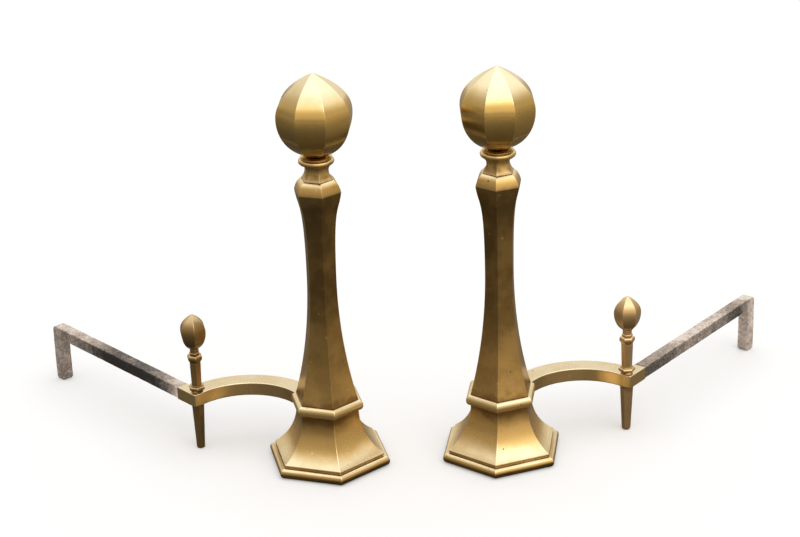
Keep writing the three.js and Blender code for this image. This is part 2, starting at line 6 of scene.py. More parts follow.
import bpy
import numpy as np
from mathutils import Matrix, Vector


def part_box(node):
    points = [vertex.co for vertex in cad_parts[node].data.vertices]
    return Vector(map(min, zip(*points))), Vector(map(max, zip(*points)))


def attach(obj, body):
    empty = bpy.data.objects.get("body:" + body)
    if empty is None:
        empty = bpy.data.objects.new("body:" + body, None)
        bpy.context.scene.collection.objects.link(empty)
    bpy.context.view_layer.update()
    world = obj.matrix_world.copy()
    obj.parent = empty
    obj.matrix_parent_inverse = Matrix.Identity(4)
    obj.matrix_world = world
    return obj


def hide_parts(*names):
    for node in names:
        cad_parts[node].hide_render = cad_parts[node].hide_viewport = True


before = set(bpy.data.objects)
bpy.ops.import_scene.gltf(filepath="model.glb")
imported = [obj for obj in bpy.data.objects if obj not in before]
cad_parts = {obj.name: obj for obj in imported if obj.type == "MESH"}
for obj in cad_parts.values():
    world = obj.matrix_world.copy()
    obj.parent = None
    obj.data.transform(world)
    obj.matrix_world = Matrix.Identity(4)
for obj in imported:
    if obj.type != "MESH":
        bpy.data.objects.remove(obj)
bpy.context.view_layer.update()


# --- Camera ---
# The camera that took the photograph, fitted to the pair's corners: 2.8 m away, looking down at 22 degrees
# and rolled a little to one side.
CAMERA_PLACE = (-0.07871, -2.51105, 1.24571)
CAMERA_PITCH = 0.39152
CAMERA_YAW = -0.02749
CAMERA_ROLL = -0.03106
CAMERA_LENS = 97.73

ahead = np.array(
    [
        -math.sin(CAMERA_YAW) * math.cos(CAMERA_PITCH),
        math.cos(CAMERA_YAW) * math.cos(CAMERA_PITCH),
        -math.sin(CAMERA_PITCH),
    ]
)
level = np.cross(ahead, (0, 0, 1)) / math.cos(CAMERA_PITCH)
above = np.cross(level, ahead)
to_right = math.cos(CAMERA_ROLL) * level + math.sin(CAMERA_ROLL) * above
to_top = math.cos(CAMERA_ROLL) * above - math.sin(CAMERA_ROLL) * level
camera = bpy.data.objects.new("camera", bpy.data.cameras.new("camera"))
camera.data.sensor_width = 36
camera.data.lens = CAMERA_LENS
camera.matrix_world = Matrix(np.column_stack([to_right, to_top, -ahead]).tolist()).to_4x4()
camera.location = CAMERA_PLACE
bpy.context.scene.collection.objects.link(camera)
bpy.context.scene.camera = camera
bpy.context.scene.view_settings.view_transform = "Standard"


# --- Studio ---
# A wide soft light overhead that falls off towards the horizon, a broad softbox in front on the right, and
# pale paper swept up behind. The camera sees the paper white. In the brass the paper in front looks dim.
# SKY runs from just below the horizon to straight overhead.
SKY = (
    (0.0, "#4D4840"),
    (0.12, "#787064"),
    (0.24, "#9E937F"),
    (0.48, "#A69B88"),
    (0.62, "#C6BDAC"),
    (0.7, "#E6E1D8"),
    (1.0, "#FFFFFF"),
)
SKY_STRENGTH = 1.42
SKY_LEAN = (0.1, 0.0, 1.0)
SKY_START = -0.1
SOFTBOX = (0.435, -0.819, 0.375)
SOFTBOX_EDGE = 0.6
SOFTBOX_STRENGTH = 1.25
BACKDROP_START = 0.15
BACKDROP_FULL = 0.75
BACKDROP_HEIGHT = 0.6
PALE_IN_METAL = 0.06
FLOOR_HALF = 12
FLOOR_DROP = 0.0002
PAPER_GLOW = 0.22
DIM_PAPER = ((0.0, "#2C2823"), (1.0, "#68604F"))
DIM_HALF = 0.7


def linear(hex_colour):
    """An sRGB hex colour as linear red, green, blue and alpha."""
    srgb = np.array([int(hex_colour[i : i + 2], 16) for i in (1, 3, 5)]) / 255
    rgb = np.where(srgb <= 0.04045, srgb / 12.92, ((srgb + 0.055) / 1.055) ** 2.4)
    return (*rgb.tolist(), 1.0)


def add(tree, kind, inputs=(), stops=(), **settings):
    """Adds a shader node with its settings. Each input gets a value, or the output that feeds it. A colour
    ramp gets its stops, each a position and a hex colour, the first at 0 and the last at 1."""
    made = tree.nodes.new("ShaderNode" + kind)
    for key, value in settings.items():
        setattr(made, key, value)
    for position, _ in stops[1:-1]:
        made.color_ramp.elements.new(position)
    for number, (_, colour) in enumerate(stops):
        made.color_ramp.elements[number].color = linear(colour)
    for key, value in dict(inputs).items():
        if isinstance(value, bpy.types.NodeSocket):
            tree.links.new(value, made.inputs[key])
        else:
            made.inputs[key].default_value = value
    return made


def shown_share(tree, in_metal):
    """1 where the camera looks straight at the background, and in_metal where metal or glass shows it."""
    path = add(tree, "LightPath")
    seen_in = {0: path.outputs["Is Glossy Ray"], 1: path.outputs["Is Transmission Ray"]}
    seen_in = add(tree, "Math", seen_in, operation="MAXIMUM").outputs[0]
    share = {0: seen_in, 1: in_metal, 2: path.outputs["Is Camera Ray"]}
    return add(tree, "Math", share, operation="MULTIPLY_ADD").outputs[0]


world = bpy.data.worlds.new("studio")
bpy.context.scene.world = world
world.use_nodes = True
tree = world.node_tree
tree.nodes.clear()
direction = add(tree, "TexCoord").outputs["Generated"]
height = add(tree, "VectorMath", {0: direction, 1: SKY_LEAN}, operation="DOT_PRODUCT").outputs["Value"]
rearward = add(tree, "SeparateXYZ", {0: direction}).outputs["Y"]
swept_up = {0: rearward, 1: BACKDROP_START, 2: BACKDROP_FULL, 4: BACKDROP_HEIGHT}
swept_up = add(tree, "MapRange", swept_up, interpolation_type="SMOOTHSTEP").outputs[0]
height = add(tree, "Math", {0: height, 1: swept_up}, operation="MAXIMUM").outputs[0]
height = add(tree, "MapRange", {0: height, 1: SKY_START, 2: 1.0}).outputs[0]
colour = add(tree, "ValToRGB", {0: height}, stops=SKY).outputs[0]
softbox = add(tree, "VectorMath", {0: direction, 1: SOFTBOX}, operation="DOT_PRODUCT").outputs["Value"]
softbox = {0: softbox, 1: SOFTBOX_EDGE, 2: 1.0, 3: SKY_STRENGTH, 4: SKY_STRENGTH + SOFTBOX_STRENGTH}
softbox = add(tree, "MapRange", softbox, interpolation_type="SMOOTHSTEP").outputs[0]
sky = add(tree, "Background", {"Color": colour, "Strength": softbox}).outputs[0]
white = add(tree, "Background", {"Color": linear("#FFFFFF"), "Strength": 1.0}).outputs[0]
shown = shown_share(tree, PALE_IN_METAL)
studio = add(tree, "MixShader", {0: shown, 1: sky, 2: white}).outputs[0]
add(tree, "OutputWorld", {"Surface": studio})

floor_mesh = bpy.data.meshes.new("floor")
corners = FLOOR_HALF * np.array([[-1, -1, 0], [1, -1, 0], [1, 1, 0], [-1, 1, 0]]) - (0, 0, FLOOR_DROP)
floor_mesh.from_pydata(corners.tolist(), [], [(0, 1, 2, 3)])
floor = bpy.data.objects.new("floor", floor_mesh)
bpy.context.scene.collection.objects.link(floor)
# White satin paper. The camera sees it white, with the pair's soft shadow. In the brass it shows as a dark
# warm copy of itself, painted shade that is darker towards the left, with a pale sheen where the paper is
# seen at a glancing angle.
paper = bpy.data.materials.new("satin_paper")
paper.use_nodes = True
tree = paper.node_tree
tree.nodes.clear()
lit = add(tree, "BsdfDiffuse", {"Color": linear("#DDE0E6")}).outputs[0]
glow = {0: shown_share(tree, PALE_IN_METAL), 1: PAPER_GLOW}
glow = add(tree, "Math", glow, operation="MULTIPLY").outputs[0]
glow = add(tree, "Emission", {"Color": linear("#FFFFFF"), "Strength": glow}).outputs[0]
sideways = add(tree, "SeparateXYZ", {0: add(tree, "TexCoord").outputs["Object"]}).outputs["X"]
sideways = add(tree, "MapRange", {0: sideways, 1: -DIM_HALF, 2: DIM_HALF}).outputs[0]
dim = add(tree, "ValToRGB", {0: sideways}, stops=DIM_PAPER).outputs[0]
dim = add(tree, "BsdfDiffuse", {"Color": dim}).outputs[0]
sheen = add(tree, "BsdfGlossy", {"Color": linear("#DDD2C0"), "Roughness": 0.3}).outputs[0]
glancing = add(tree, "LayerWeight").outputs["Facing"]
glancing = add(tree, "Math", {0: glancing, 1: 4.0}, operation="POWER").outputs[0]
in_metal = add(tree, "MixShader", {0: glancing, 1: dim, 2: sheen}).outputs[0]
reflected = {0: add(tree, "LightPath").outputs["Is Glossy Ray"], 1: 1 - PALE_IN_METAL}
reflected = add(tree, "Math", reflected, operation="MULTIPLY").outputs[0]
paper_seen = add(tree, "MixShader", {0: reflected, 1: lit, 2: in_metal}).outputs[0]
paper_seen = add(tree, "AddShader", {0: paper_seen, 1: glow}).outputs[0]
add(tree, "OutputMaterial", {"Surface": paper_seen})
floor_mesh.materials.append(paper)


# --- Base castings ---
# The flared foot of each column: sand-cast yellow brass, hollow below, with a half-round bead along the
# floor and a groove above it. It was filed and polished once, and has darkened with age. Painted light makes
# the flare paler, and painted shade browns the faces that turn down.
SIDES = ("left", "right")
AXIS = (107.0, -102.362)
TOE_OUT = math.radians(10.3)
COLUMN_SIDES = 6
ROD_BORE = 5.9
WALL = 4.62
BASE_RADIUS = 79
BEAD_TOP = 12.6
BEAD_PROUD = 6.3
QUIRK_TOP = 13.8
QUIRK_RADIUS = 70
LIP_PROUD = 1.2
FLARE_EDGE = 71.5
FLARE_FOOT = 16.3
HOLLOW_FOOT = 12.3
FOOT_RADIUS = 40.7
CAP_PLATE = 5
# A turn of 20 degrees in radians, and a height above every piece, for pieces without a crevice.
SHARP_TURN = 0.35
FAR_AWAY = 999


def height_of(node):
    """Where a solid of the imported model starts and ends, in mm above the floor."""
    low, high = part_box(node)
    return 1000 * low.z, 1000 * high.z


def heading(angle):
    """The unit vector at an angle from +X: cos a, sin a."""
    return np.stack([np.cos(angle), np.sin(angle)], -1)


def cavetto(foot_radius, foot, top_radius, top, steps=28):
    """A hollow curve: a circle's arc, upright at its top, of radius (run^2 + rise^2) / (2 run)."""
    run, rise = foot_radius - top_radius, top - foot
    radius = (run**2 + rise**2) / (2 * run)
    angle = math.asin(abs(rise) / radius) * np.linspace(1, 0, steps)
    across = top_radius + radius * (1 - np.cos(angle))
    return np.column_stack([across, top - np.sign(rise) * radius * np.sin(angle)])


def bead(root, foot, top, proud, steps=17):
    """A half-round moulding: the root radius plus proud sin a, while its height runs with 1 - cos a."""
    angle = np.linspace(0, math.pi, steps)
    return np.column_stack([root + proud * np.sin(angle), foot + (top - foot) / 2 * (1 - np.cos(angle))])


def softened(profile, radius=0.5, open_ended=False):
    """Rounds each sharp corner of a profile: the corner gives way to a short parabola between points on its
    two sides, at most a third of a side away. Corners that turn less than 20 degrees stay, and so do open
    ends."""
    profile = np.asarray(profile, float)
    back, on = np.roll(profile, 1, 0) - profile, np.roll(profile, -1, 0) - profile
    back_length, on_length = np.linalg.norm(back, axis=1), np.linalg.norm(on, axis=1)
    straightness = np.clip((back * on).sum(1) / (back_length * on_length), -1, 1)
    sharp = np.pi - np.arccos(straightness) > SHARP_TURN
    if open_ended:
        sharp[[0, -1]] = False
    reach = np.minimum(radius, np.minimum(back_length, on_length) / 3)
    start = profile + back * (reach / back_length)[:, None]
    end = profile + on * (reach / on_length)[:, None]
    share = np.linspace(0, 1, 5)[:, None]
    arcs = [
        (1 - share) ** 2 * a + 2 * share * (1 - share) * p + share**2 * b if corner else p[None]
        for a, p, b, corner in zip(start, profile, end, sharp)
    ]
    return np.concatenate(arcs)


def many_sided(profile, sides, turn=0.0, rounding=1.0, crevices=(), spot=(0, 0)):
    """A many-sided turned form with rounded corners, as a grid: rows along the profile, columns round it.
    A point at corner radius r is (r - q / cos(pi / n)) A + q B, with q the rounding. At a corner A is the
    corner's direction and B turns through one side's angle. Along a flat both pass evenly to the next
    corner. The measures are how far each point lies from an arris and from the nearest crevice, in mm."""
    step = 2 * math.pi / sides
    corner = -math.pi / 2 + turn + step * np.arange(sides)
    swing = np.linspace(-step / 2, step / 2, 6)
    flat = np.array([0.02, 0.06, 0.14, 0.28, 0.42, 0.58, 0.72, 0.86, 0.94, 0.98])
    at_corner = np.repeat(heading(corner)[:, None], len(swing), 1)
    leaving, reaching = heading(corner)[:, None], heading(corner + step)[:, None]
    a_flat = (1 - flat)[:, None] * leaving + flat[:, None] * reaching
    b_flat = np.repeat(heading(corner + step / 2)[:, None], len(flat), 1)
    a = np.concatenate([at_corner, a_flat], 1).reshape(-1, 2)
    b = np.concatenate([heading(corner[:, None] + swing), b_flat], 1).reshape(-1, 2)
    share = np.tile(np.concatenate([0 * swing, np.minimum(flat, 1 - flat)]), sides)
    r, z = np.asarray(profile, float).T
    q = np.minimum(rounding, 0.9 * r * math.cos(step / 2))
    plan = (r - q / math.cos(step / 2))[:, None, None] * a + q[:, None, None] * b + np.asarray(spot)
    grid = np.concatenate([plan, np.repeat(z[:, None, None], len(a), 1)], 2)
    from_arris = 2 * math.sin(step / 2) * r[:, None] * share
    from_crevice = np.abs(z[:, None] - [*crevices, FAR_AWAY]).min(1)
    return grid, {"arris": from_arris, "crevice": np.repeat(from_crevice[:, None], len(a), 1)}


def piece(name, side, node, grid, measures, material, loop=False, filled=False):
    """Makes a grid of points, in mm about the right column's axis, into a mesh in the model's frame. The
    columns close on themselves, and the rows do too with loop. filled closes the first and last row with a
    flat face. A row that is one point is a pole. The left piece is the right one's mirror image, with its
    faces turned."""
    rows, columns = grid.shape[:2]
    index = np.arange(rows * columns).reshape(rows, columns)
    pole = np.ptp(grid, axis=1).max(axis=1) < 1e-6
    index[pole] = index[pole, :1]
    low, high = (index, np.roll(index, -1, 0)) if loop else (index[:-1], index[1:])
    quads = np.stack([low, np.roll(low, -1, 1), np.roll(high, -1, 1), high], -1).reshape(-1, 4)
    pinched_low, pinched_high = quads[:, 0] == quads[:, 1], quads[:, 2] == quads[:, 3]
    faces = quads[~pinched_low & ~pinched_high].tolist()
    faces += quads[pinched_low & ~pinched_high][:, [0, 2, 3]].tolist()
    faces += quads[pinched_high & ~pinched_low][:, [0, 1, 2]].tolist()
    if filled:
        faces += [index[0, ::-1].tolist(), index[-1].tolist()]
    mirror = -1 if side == "left" else 1
    if mirror < 0:
        faces = [face[::-1] for face in faces]
    used = np.unique(index)
    place = np.full(rows * columns, -1)
    place[used] = np.arange(len(used))
    faces = [place[face].tolist() for face in faces]
    x, y, z = (grid * (mirror, 1, 1)).reshape(-1, 3)[used].T
    cos, sin = math.cos(TOE_OUT), -mirror * math.sin(TOE_OUT)
    stood = np.column_stack([cos * x - sin * y + mirror * AXIS[0], sin * x + cos * y + AXIS[1], z]) / 1000
    mesh = bpy.data.meshes.new(name)
    mesh.from_pydata(stood.tolist(), [], faces)
    for key, values in measures.items():
        attribute = mesh.attributes.new(key, "FLOAT", "POINT")
        spread = np.broadcast_to(values, (rows, columns)).reshape(-1)[used]
        attribute.data.foreach_set("value", spread.astype(np.float32))
    mesh.shade_smooth()
    mesh.materials.append(material)
    made = bpy.data.objects.new(name, mesh)
    bpy.context.scene.collection.objects.link(made)
    made.modifiers.new("even_flats", "WEIGHTED_NORMAL").keep_sharp = True
    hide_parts(f"{side}_{node}")
    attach(made, "root")
    return made


def aged_brass(name, pale, golden, brown, polish, underside, clouded=0.14):
    """Cast yellow brass, filed, polished and darkened by handling and smoke, in tarnished clouds. Over that
    lies painted light and shade set by the normal: the colour is pale where the surface lies level, golden
    where it stands and brown underneath. It has worn bright arrises, and brown dirt with painted shade along
    its crevices.
    A scale is in cells to the metre: tarnished clouds 42 mm across, grain 2.4 mm, rubbing marks 1.4 mm apart
    and
    38 mm long, stains 14 mm, pits under 1 mm and nicks up to 2 mm. polish is the roughness, underside is the
    upward part of the normal where the painted brown shade is full, and clouded is how much the clouds
    change."""
    material = bpy.data.materials.new(name)
    material.use_nodes = True
    tree = material.node_tree
    tree.nodes.clear()
    place = add(tree, "TexCoord").outputs["Object"]
    cloud = {"Vector": place, "Scale": 24.0, "Detail": 5.0, "Roughness": 0.6}
    cloud = add(tree, "TexNoise", cloud).outputs[0]
    cloud = {0: cloud, 1: 0.35, 2: 0.65}
    cloud = add(tree, "MapRange", cloud, interpolation_type="SMOOTHSTEP").outputs[0]
    fine = {"Vector": place, "Scale": 420.0, "Detail": 4.0, "Roughness": 0.6}
    fine = add(tree, "TexNoise", fine).outputs[0]
    along = add(tree, "Mapping", {"Vector": place, "Scale": (700.0, 700.0, 26.0)}).outputs[0]
    rubbed = {"Vector": along, "Scale": 1.0, "Detail": 2.0, "Roughness": 0.5}
    rubbed = add(tree, "TexNoise", rubbed).outputs[0]

    # Painted light and shade: the colour runs from pale where the surface faces up to brown where it faces
    # down.
    upward = add(tree, "SeparateXYZ", {0: add(tree, "NewGeometry").outputs["Normal"]}).outputs["Z"]
    under = add(tree, "MapRange", {0: upward, 1: 0.75, 2: underside}).outputs[0]
    arris = add(tree, "Attribute", attribute_name="arris").outputs["Fac"]
    arris = add(tree, "Math", {0: fine, 1: -1.6, 2: arris}, operation="MULTIPLY_ADD").outputs[0]
    worn = {0: arris, 1: -0.4, 2: -1.3}
    worn = add(tree, "MapRange", worn, interpolation_type="SMOOTHSTEP").outputs[0]
    # Brown dirt and painted shade within about a millimetre of each crevice, where the pieces meet.
    crevice = add(tree, "Attribute", attribute_name="crevice").outputs["Fac"]
    crevice_dirt_and_shade = add(tree, "Math", {0: fine, 1: -1.5, 2: crevice}, operation="MULTIPLY_ADD").outputs[0]
    crevice_dirt_and_shade = {0: crevice_dirt_and_shade, 1: 0.1, 2: -1.0}
    crevice_dirt_and_shade = add(tree, "MapRange", crevice_dirt_and_shade, interpolation_type="SMOOTHSTEP").outputs[0]
    stain = {"Vector": place, "Scale": 70.0, "Detail": 4.0, "Roughness": 0.6}
    stain = add(tree, "TexNoise", stain).outputs[0]
    stain = add(tree, "Math", {0: stain, 1: -34.0, 2: crevice}, operation="MULTIPLY_ADD").outputs[0]
    stain = {0: stain, 1: -6.0, 2: -17.0, 4: 0.6}
    stain = add(tree, "MapRange", stain, interpolation_type="SMOOTHSTEP").outputs[0]

    spots = add(tree, "TexVoronoi", {"Vector": place, "Scale": 85.0, "Randomness": 1.0})
    kept = add(tree, "SeparateColor", {0: spots.outputs["Color"]}).outputs[0]
    size = add(tree, "MapRange", {0: kept, 1: 0.7, 2: 1.0, 4: 0.13}).outputs[0]
    pit = {0: size, 1: spots.outputs["Distance"]}
    pit = add(tree, "Math", pit, operation="SUBTRACT").outputs[0]
    pit = add(tree, "MapRange", {0: pit, 1: 0.0, 2: 0.04}).outputs[0]
    skewed = {"Vector": place, "Rotation": (0.5, 0.7, 0.9), "Scale": (150.0, 60.0, 90.0)}
    skewed = add(tree, "Mapping", skewed).outputs[0]
    nicks = add(tree, "TexVoronoi", {"Vector": skewed, "Scale": 1.0})
    kept = add(tree, "SeparateColor", {0: nicks.outputs["Color"]}).outputs[1]
    size = add(tree, "MapRange", {0: kept, 1: 0.8, 2: 1.0, 4: 0.16}).outputs[0]
    nick = {0: size, 1: nicks.outputs["Distance"]}
    nick = add(tree, "Math", nick, operation="SUBTRACT").outputs[0]
    nick = add(tree, "MapRange", {0: nick, 1: 0.0, 2: 0.05, 4: 0.6}).outputs[0]

    tarnish_and_shade = {0: cloud, 1: clouded, 2: -clouded / 2}
    tarnish_and_shade = add(tree, "Math", tarnish_and_shade, operation="MULTIPLY_ADD").outputs[0]
    tarnish_and_shade = add(tree, "Math", {0: rubbed, 1: 0.07, 2: tarnish_and_shade}, operation="MULTIPLY_ADD").outputs[0]
    tarnish_and_shade = add(tree, "Math", {0: under, 1: 0.9, 2: tarnish_and_shade}, operation="MULTIPLY_ADD").outputs[0]
    tarnish_and_shade = add(tree, "Math", {0: worn, 1: -0.25, 2: tarnish_and_shade}, operation="MULTIPLY_ADD").outputs[0]
    tarnish_and_shade = {0: nick, 1: -0.9, 2: tarnish_and_shade}
    tarnish_and_shade = add(tree, "Math", tarnish_and_shade, operation="MULTIPLY_ADD", use_clamp=True).outputs[0]
    shades = ((0.0, pale), (0.3, golden), (0.62, golden), (1.0, brown))
    colour = add(tree, "ValToRGB", {0: tarnish_and_shade}, stops=shades).outputs[0]
    colour = {0: stain, 6: colour, 7: linear("#82592C")}
    colour = add(tree, "Mix", colour, data_type="RGBA").outputs[2]
    dirt_and_crevice_shade = add(tree, "Math", {0: crevice_dirt_and_shade, 1: pit}, operation="MAXIMUM").outputs[0]
    dirt_and_crevice_shade = add(tree, "Math", {0: dirt_and_crevice_shade, 1: 0.8}, operation="MULTIPLY").outputs[0]
    colour = {0: dirt_and_crevice_shade, 6: colour, 7: linear("#4A3620")}
    colour = add(tree, "Mix", colour, data_type="RGBA").outputs[2]

    rough = {0: rubbed, 1: 0.08, 2: polish - 0.04}
    rough = add(tree, "Math", rough, operation="MULTIPLY_ADD").outputs[0]
    rough = add(tree, "Math", {0: tarnish_and_shade, 1: 0.06, 2: rough}, operation="MULTIPLY_ADD").outputs[0]
    rough = add(tree, "Math", {0: nick, 1: 0.4, 2: rough}, operation="MULTIPLY_ADD").outputs[0]
    rough = add(tree, "Math", {0: dirt_and_crevice_shade, 1: 0.3, 2: rough}, operation="MULTIPLY_ADD").outputs[0]
    metal = add(tree, "MapRange", {0: dirt_and_crevice_shade, 1: 0.0, 2: 1.0, 3: 1.0, 4: 0.7}).outputs[0]
    relief = add(tree, "Math", {0: fine, 1: 0.04, 2: cloud}, operation="MULTIPLY_ADD").outputs[0]
    relief = add(tree, "Math", {0: pit, 1: -1.0, 2: relief}, operation="MULTIPLY_ADD").outputs[0]
    bump = add(tree, "Bump", {"Height": relief, "Distance": 0.0001, "Strength": 0.4}).outputs[0]
    wavy = add(tree, "TexNoise", {"Vector": place, "Scale": 45.0, "Detail": 1.0}).outputs[0]
    bump = {"Height": wavy, "Distance": 0.0009, "Strength": 0.25, "Normal": bump}
    bump = add(tree, "Bump", bump).outputs[0]
    surface = {"Base Color": colour, "Metallic": metal, "Roughness": rough, "Normal": bump}
    surface = add(tree, "BsdfPrincipled", surface).outputs[0]
    add(tree, "OutputMaterial", {"Surface": surface})
    return material


# The eye sees dark satin brass, brown up the column's faces and pale gold on the flare at its foot, which is
# painted shade and painted light following how far each surface faces up.
column_brass = aged_brass("aged_cast_brass_column", "#EEDDB6", "#D6B476", "#826B43", 0.25, 0.02)
base_top = height_of("right_base_casting")[1]
base_outside = np.concatenate(
    [
        [(FLARE_EDGE - WALL, 0)],
        bead(BASE_RADIUS - BEAD_PROUD, 0, BEAD_TOP, BEAD_PROUD),
        [(QUIRK_RADIUS, BEAD_TOP), (QUIRK_RADIUS, QUIRK_TOP)],
        bead(FLARE_EDGE - LIP_PROUD, QUIRK_TOP, FLARE_FOOT, LIP_PROUD, 9)[:-1],
        cavetto(FLARE_EDGE, FLARE_FOOT, FOOT_RADIUS, base_top),
        [(ROD_BORE, base_top), (ROD_BORE, base_top - CAP_PLATE)],
    ]
)
hollow_edge, hollow_top = FLARE_EDGE - WALL, base_top - CAP_PLATE
base_inside = cavetto(hollow_edge, HOLLOW_FOOT, FOOT_RADIUS - WALL, hollow_top, 10)[::-1]
base_profile = softened(np.concatenate([base_outside, base_inside]))
for side in SIDES:
    grid, measures = many_sided(base_profile, COLUMN_SIDES, rounding=1.1, crevices=(base_top,))
    casting = piece(f"base_{side}", side, "base_casting", grid, measures, column_brass, loop=True)


# --- Ring mouldings ---
# A loose six-sided half-round ring of cast brass between base and shaft, clamped down by the shaft. Every
# cloth rubs its rounded face, so its brass is paler than the column's, and it has far less painted shade
# below, so it is brighter.
RING_PROUD = 6.3
RING_BORE = 33
# The eye sees a worn pale gold all round the ring, with only a little painted shade making it browner below.
ring_brass = aged_brass("rubbed_cast_brass_ring", "#F2E3BE", "#E2C68C", "#C29E63", 0.3, -0.95)
ring_foot, ring_top = height_of("right_ring_moulding")
ring_face = bead(FOOT_RADIUS, ring_foot, ring_top, RING_PROUD)
ring_profile = softened(np.concatenate([[(RING_BORE, ring_foot)], ring_face, [(RING_BORE, ring_top)]]))
for side in SIDES:
    grid, measures = many_sided(ring_profile, COLUMN_SIDES, rounding=1.1)
    ring = piece(f"ring_{side}", side, "ring_moulding", grid, measures, ring_brass, loop=True)


# --- Column shafts ---
# The tall waisted shaft: one hollow brass casting whose six hollow faces sweep in to the waist and out to a
# rounded shoulder. Its arrises were filed up by hand and have gone nearly as dark as its faces.
WAIST_RISE = 158
WAIST_RADIUS = 19
SHOULDER_RADIUS = 29.7
SHOULDER_DROP = 15
SHAFT_PLATE = 6
ARRIS_DULLED = 0.8
NECK_FOOT_RADIUS = 20.5
# How far the curves' handles reach, as shares of the rise below or above the waist, or of the drop.
FOOT_PULL = (0.077, 0.257)
WAIST_PULL_DOWN = 0.397
WAIST_PULL_UP = 0.876
SHOULDER_PULL = (0.038, 0.244)
CUSHION_PULL = (0.05, 0.3)
CUSHION_CREST = (0.6, 0.2)
CUSHION_BULGE = 1.8


def bezier(a, b, c, d, steps):
    """A cubic curve (1-t)^3 a + 3 (1-t)^2 t b + 3 (1-t) t^2 c + t^3 d."""
    t = np.linspace(0, 1, steps)[:, None]
    a, b, c, d = map(np.asarray, (a, b, c, d))
    return (1 - t) ** 3 * a + 3 * (1 - t) ** 2 * t * b + 3 * (1 - t) * t**2 * c + t**3 * d


def shaft_sweep(inset, foot, top, steps):
    """The shaft's long hollow curve from its foot to its widest shoulder, drawn in by a wall."""
    waist, shoulder = foot + WAIST_RISE, top - SHOULDER_DROP
    upper = shoulder - waist
    low, narrow, wide = FOOT_RADIUS - inset, WAIST_RADIUS - inset, SHOULDER_RADIUS - inset
    below = bezier(
        (low, foot),
        (low - FOOT_PULL[0] * WAIST_RISE, foot + FOOT_PULL[1] * WAIST_RISE),
        (narrow, waist - WAIST_PULL_DOWN * WAIST_RISE),
        (narrow, waist),
        steps,
    )
    over = bezier(
        (narrow, waist),
        (narrow, waist + WAIST_PULL_UP * upper),
        (wide - SHOULDER_PULL[0] * upper, shoulder - SHOULDER_PULL[1] * upper),
        (wide, shoulder),
        steps,
    )
    return np.concatenate([below, over[1:]])


shaft_foot, shaft_top = height_of("right_column_shaft")
shoulder = shaft_top - SHOULDER_DROP
crest_radius = SHOULDER_RADIUS + CUSHION_CREST[0] * (NECK_FOOT_RADIUS - SHOULDER_RADIUS) + CUSHION_BULGE
cushion = bezier(
    (SHOULDER_RADIUS, shoulder),
    (SHOULDER_RADIUS - CUSHION_PULL[0] * SHOULDER_DROP, shoulder + CUSHION_PULL[1] * SHOULDER_DROP),
    (crest_radius, shaft_top - CUSHION_CREST[1] * SHOULDER_DROP),
    (NECK_FOOT_RADIUS, shaft_top),
    14,
)
plate_under = shaft_top - SHAFT_PLATE
shaft_profile = softened(
    np.concatenate(
        [
            shaft_sweep(0, shaft_foot, shaft_top, 44),
            cushion[1:],
            [(ROD_BORE, shaft_top), (ROD_BORE, plate_under), (NECK_FOOT_RADIUS - WALL, plate_under)],
            shaft_sweep(WALL, shaft_foot, shaft_top, 8)[::-1],
        ]
    )
)
for side in SIDES:
    grid, measures = many_sided(shaft_profile, COLUMN_SIDES, rounding=0.6, crevices=(shaft_foot,))
    measures["arris"] += ARRIS_DULLED
    shaft = piece(f"shaft_{side}", side, "column_shaft", grid, measures, column_brass, loop=True)


# --- Necks and collars ---
# A short six-sided neck with hollow faces, and a round turned collar that seats the ball. Both are solid
# brass, bored for the tie rod.
NECK_WAIST_RADIUS = 15.2
NECK_WAIST_RISE = 12
NECK_TOP_RADIUS = 17.4
COLLAR_RADIUS = 22.2
COLLAR_FILLET = 1
COLLAR_BEAD = 7.2
COLLAR_LIP_RADIUS = 19.6
COLLAR_LIP_HEIGHT = 1.6
BALL_FOOT_RADIUS = 12.7
# A rounding larger than any radius makes a round form, and 3 mm from an arris nothing is worn bright.
COLLAR_STEPS = 12
FULLY_ROUND = 99
NO_ARRIS = 3
neck_foot, neck_top = height_of("right_neck")
neck_waist = neck_foot + NECK_WAIST_RISE
neck_profile = softened(
    np.concatenate(
        [
            [(ROD_BORE, neck_foot)],
            cavetto(NECK_FOOT_RADIUS, neck_foot, NECK_WAIST_RADIUS, neck_waist, 14),
            cavetto(NECK_TOP_RADIUS, neck_top, NECK_WAIST_RADIUS, neck_waist, 9)[::-1][1:],
            [(ROD_BORE, neck_top)],
        ]
    )
)
collar_foot, collar_top = height_of("right_collar")
bead_foot = collar_foot + COLLAR_FILLET
bead_top = bead_foot + COLLAR_BEAD
lip_top = bead_top + COLLAR_LIP_HEIGHT
bead_root = (NECK_TOP_RADIUS + COLLAR_LIP_RADIUS) / 2
collar_profile = softened(
    np.concatenate(
        [
            [(ROD_BORE, collar_foot)],
            bead(NECK_TOP_RADIUS, collar_foot, bead_foot, COLLAR_FILLET / 2, 9),
            bead(bead_root, bead_foot, bead_top, COLLAR_RADIUS - bead_root)[1:],
            [(COLLAR_LIP_RADIUS, bead_top + COLLAR_LIP_HEIGHT / 2), (COLLAR_LIP_RADIUS, lip_top)],
            [(BALL_FOOT_RADIUS, collar_top), (ROD_BORE, collar_top)],
        ]
    ),
    0.4,
)
